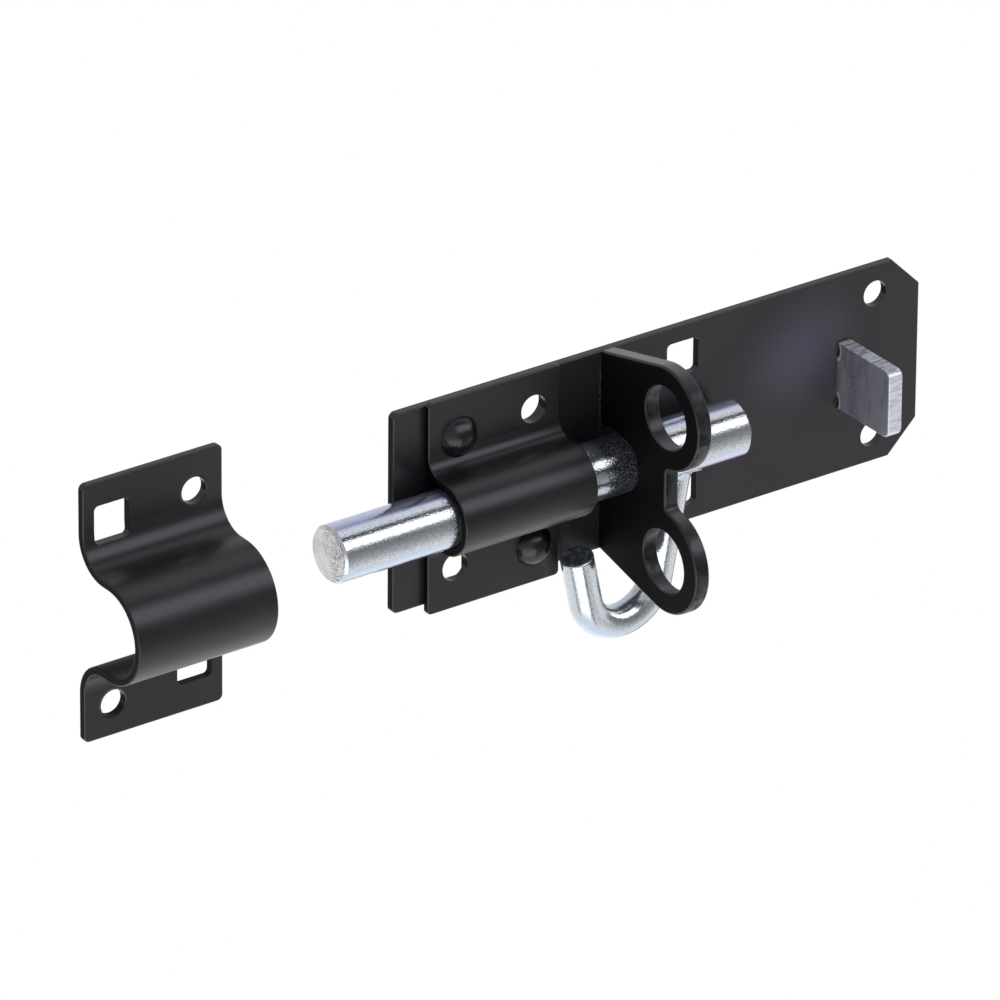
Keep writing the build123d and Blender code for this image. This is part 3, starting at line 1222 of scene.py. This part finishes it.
@dataclass
class BoltAndHook:
    """The zinc plated bar and the hook that is welded to it."""

    axis_y: float = -9.8 * MM
    front: float = -98.3 * MM
    rear: float = 16.2 * MM
    bar_radius: float = 7.0 * MM
    weld_x: float = -0.42 * MM
    weld_radius: float = 5.8 * MM
    seam_steps: int = 96
    lean: float = math.radians(3.5)
    rosy_from_x: float = -8.0 * MM
    scorches: tuple[Scorch, ...] = (
        Scorch(*mm(-25.0, -12.0)),
        Scorch(*mm(-68.5, -62.0)),
    )
    hook_tip: SlateEnd = SlateEnd(-18.5 * MM)
    ripples: BeadRow = BeadRow(
        radius=0.28 * MM,
        count=110,
        seed=3,
        fineness=3,
        smallest=(0.85, 0.75, 0.75),
        largest=(1.15, 1.05, 1.05),
    )

    def seam(self) -> list[Vector]:
        """Loop on the bar's surface round the hook's root.

        Returns:
            Points of the loop, in metres.
        """
        points = []
        for step in range(self.seam_steps):
            turn = 2 * math.pi * step / self.seam_steps
            along = self.weld_x + self.weld_radius * math.cos(turn)
            around = self.weld_radius * math.sin(turn) / self.bar_radius + self.lean
            y = self.axis_y + self.bar_radius * math.sin(around)
            z = -self.bar_radius * math.cos(around)
            points.append(Vector((along, y, z)))
        return points

    def build(self) -> None:
        """Dress the bar and the hook, and add the weld's ripples."""
        ends = SawnEnds(self.front, self.rear)
        bar = ZincPlate("zinc_bolt", rosy_from_x=self.rosy_from_x, zones=(*self.scorches, ends))
        dress("bolt_rod", bar.build())
        hook = ZincPlate(
            "zinc_hook", grain=Grain.ALONG_Z, speck_amount=0.5, zones=(self.hook_tip,)
        ).build()
        dress("hook_handle", hook)
        ripples = self.ripples.build("hook_weld_ripples", self.seam(), hook)
        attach(ripples, "hook")


@dataclass
class Studio:
    """Pale floor, soft light all round and the camera.

    The tent is tilts in degrees, 0 to the front (-Y) and 90 up, each with its light. A panel is its
    left and right end and soft edge, in degrees from the camera's direction, and its light.
    """

    azimuth: float = math.radians(-35.73)
    elevation: float = math.radians(27.02)
    roll: float = math.radians(0.482)
    focal_pixels: float = 12264.8
    distance: float = 2.8324
    origin_pixel: Pair = (653.71, 428.38)
    picture: int = 1000
    sensor: float = 36.0
    clip_start: float = 0.05
    clip_end: float = 60.0
    floor_height: float = -0.12
    floor_reach: float = 6.0
    low_light: Triple = (1.10, 1.08, 1.06)
    high_light: Triple = (0.58, 0.58, 0.63)
    horizon_span: Span = (-0.10, 0.10)
    keepward_span: Span = (-0.35, -0.12)
    tent: tuple[tuple[float, Triple], ...] = (
        (-180.0, (0.80, 0.80, 0.83)),
        (-150.0, (1.15, 1.11, 1.08)),
        (-110.0, (1.45, 1.38, 1.33)),
        (-85.0, (1.20, 1.16, 1.14)),
        (-60.0, (1.12, 1.08, 1.12)),
        (-45.0, (0.88, 0.84, 0.90)),
        (-32.0, (0.60, 0.59, 0.63)),
        (-12.0, (0.35, 0.355, 0.365)),
        (6.0, (0.20, 0.203, 0.21)),
        (18.0, (0.22, 0.22, 0.23)),
        (27.0, (0.30, 0.30, 0.31)),
        (30.0, (2.35, 2.25, 2.50)),
        (59.0, (2.30, 2.20, 2.45)),
        (61.0, (0.20, 0.20, 0.23)),
        (63.0, (0.01, 0.01, 0.01)),
        (77.0, (0.01, 0.01, 0.01)),
        (81.0, (0.95, 0.96, 1.03)),
        (108.0, (0.92, 0.93, 1.00)),
        (116.0, (0.42, 0.42, 0.46)),
        (128.0, (0.42, 0.42, 0.46)),
        (140.0, (0.72, 0.74, 0.80)),
        (180.0, (0.80, 0.80, 0.83)),
    )
    panel_bottom: float = -0.80
    panel_top: float = -0.22
    panel_soft: float = 0.06
    panels: tuple[tuple[float, float, float, Triple], ...] = (
        (-56.0, -36.0, 2.0, (0.05, 0.05, 0.06)),
        (38.0, 52.0, 2.0, (0.16, 0.16, 0.18)),
        (-34.0, 38.0, 2.0, (2.10, 2.08, 2.14)),
        (84.0, 132.0, 4.0, (0.98, 0.98, 1.02)),
        (138.0, 168.0, 4.0, (0.30, 0.32, 0.38)),
    )

    def camera(self) -> None:
        """Make the camera, far off with a long lens."""
        a, e, r = self.azimuth, self.elevation, self.roll
        back = Vector((math.sin(a) * math.cos(e), -math.cos(a) * math.cos(e), math.sin(e)))
        level = Vector((math.cos(a), math.sin(a), 0.0))
        upright = back.cross(level)
        right = level * math.cos(r) + upright * math.sin(r)
        up = upright * math.cos(r) - level * math.sin(r)
        middle = self.picture / 2
        scale = self.distance / self.focal_pixels
        shift_right = (self.origin_pixel[0] - middle) * scale
        shift_up = -(self.origin_pixel[1] - middle) * scale
        place = back * self.distance - right * shift_right - up * shift_up
        data = bpy.data.cameras.new("camera")
        data.sensor_width = self.sensor
        data.lens = self.focal_pixels / self.picture * self.sensor
        data.clip_start = self.clip_start
        data.clip_end = self.clip_end
        camera = bpy.data.objects.new("camera", data)
        turn = Matrix((right, up, back)).transposed().to_4x4()
        camera.matrix_world = Matrix.Translation(place) @ turn
        bpy.context.scene.collection.objects.link(camera)
        bpy.context.scene.camera = camera

    def floor(self) -> None:
        """Make the pale floor, which only the camera sees."""
        reach = self.floor_reach
        z = self.floor_height
        mesh = bpy.data.meshes.new("floor")
        corners = [(-reach, -reach, z), (reach, -reach, z), (reach, reach, z), (-reach, reach, z)]
        mesh.from_pydata(corners, [], [(0, 1, 2, 3)])
        floor = bpy.data.objects.new("floor", mesh)
        bpy.context.scene.collection.objects.link(floor)
        material, graph = new_material("floor_white")
        glow = {"Color": (1, 1, 1, 1), "Strength": 1.0}
        graph.end(graph.node("ShaderNodeEmission", {}, glow))
        mesh.materials.append(material)
        floor.visible_diffuse = False
        floor.visible_glossy = False
        floor.visible_shadow = False
        floor.visible_transmission = False

    def surroundings(self) -> None:
        """Make the light tent: rings of light about X, and upright panels near the floor."""
        world = bpy.data.worlds.new("tent")
        bpy.context.scene.world = world
        world.use_nodes = True
        graph = Graph(world.node_tree)
        x, y, z = graph.parts_of(graph.add("ShaderNodeTexCoord", output="Generated"))
        tilt = graph.math("ARCTAN2", z, 0 - y) * (180 / math.pi)
        a = self.azimuth
        sideways = x * math.cos(a) + y * math.sin(a)
        towards = x * math.sin(a) - y * math.cos(a)
        swing = graph.math("ARCTAN2", sideways, towards) * (180 / math.pi)
        level = graph.blend(z.rises(*self.horizon_span), self.low_light, self.high_light)
        ring = graph.add(
            "ShaderNodeValToRGB",
            {"stops": [(degrees / 360 + 0.5, colour) for degrees, colour in self.tent]},
            {0: tilt / 360 + 0.5},
        )
        level = graph.blend(x.rises(*self.keepward_span), level, ring)
        low = z.within(self.panel_bottom, self.panel_top, self.panel_soft)
        for start, end, soft, colour in self.panels:
            level = graph.blend(swing.within(start, end, soft) * low, level, colour)
        seen = graph.add("ShaderNodeLightPath", output="Is Camera Ray")
        shown = graph.blend(seen, level, (1.0, 1.0, 1.0))
        sky = graph.node("ShaderNodeBackground", {}, {"Color": shown, "Strength": 1.0})
        graph.end(sky, "ShaderNodeOutputWorld")

    def build(self) -> None:
        """Make the camera, the floor and the light, and keep colours plain."""
        self.camera()
        self.floor()
        self.surroundings()
        bpy.context.scene.view_settings.view_transform = "Standard"
        bpy.context.scene.view_settings.look = "None"


def main() -> None:
    """Build the padbolt's looks."""
    logging.basicConfig(level=logging.INFO, format="%(name)s: %(message)s")
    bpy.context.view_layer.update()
    Sheetwork().build()
    StopTab().build()
    BoltAndHook().build()
    Studio().build()


if __name__ == "__main__":
    main()
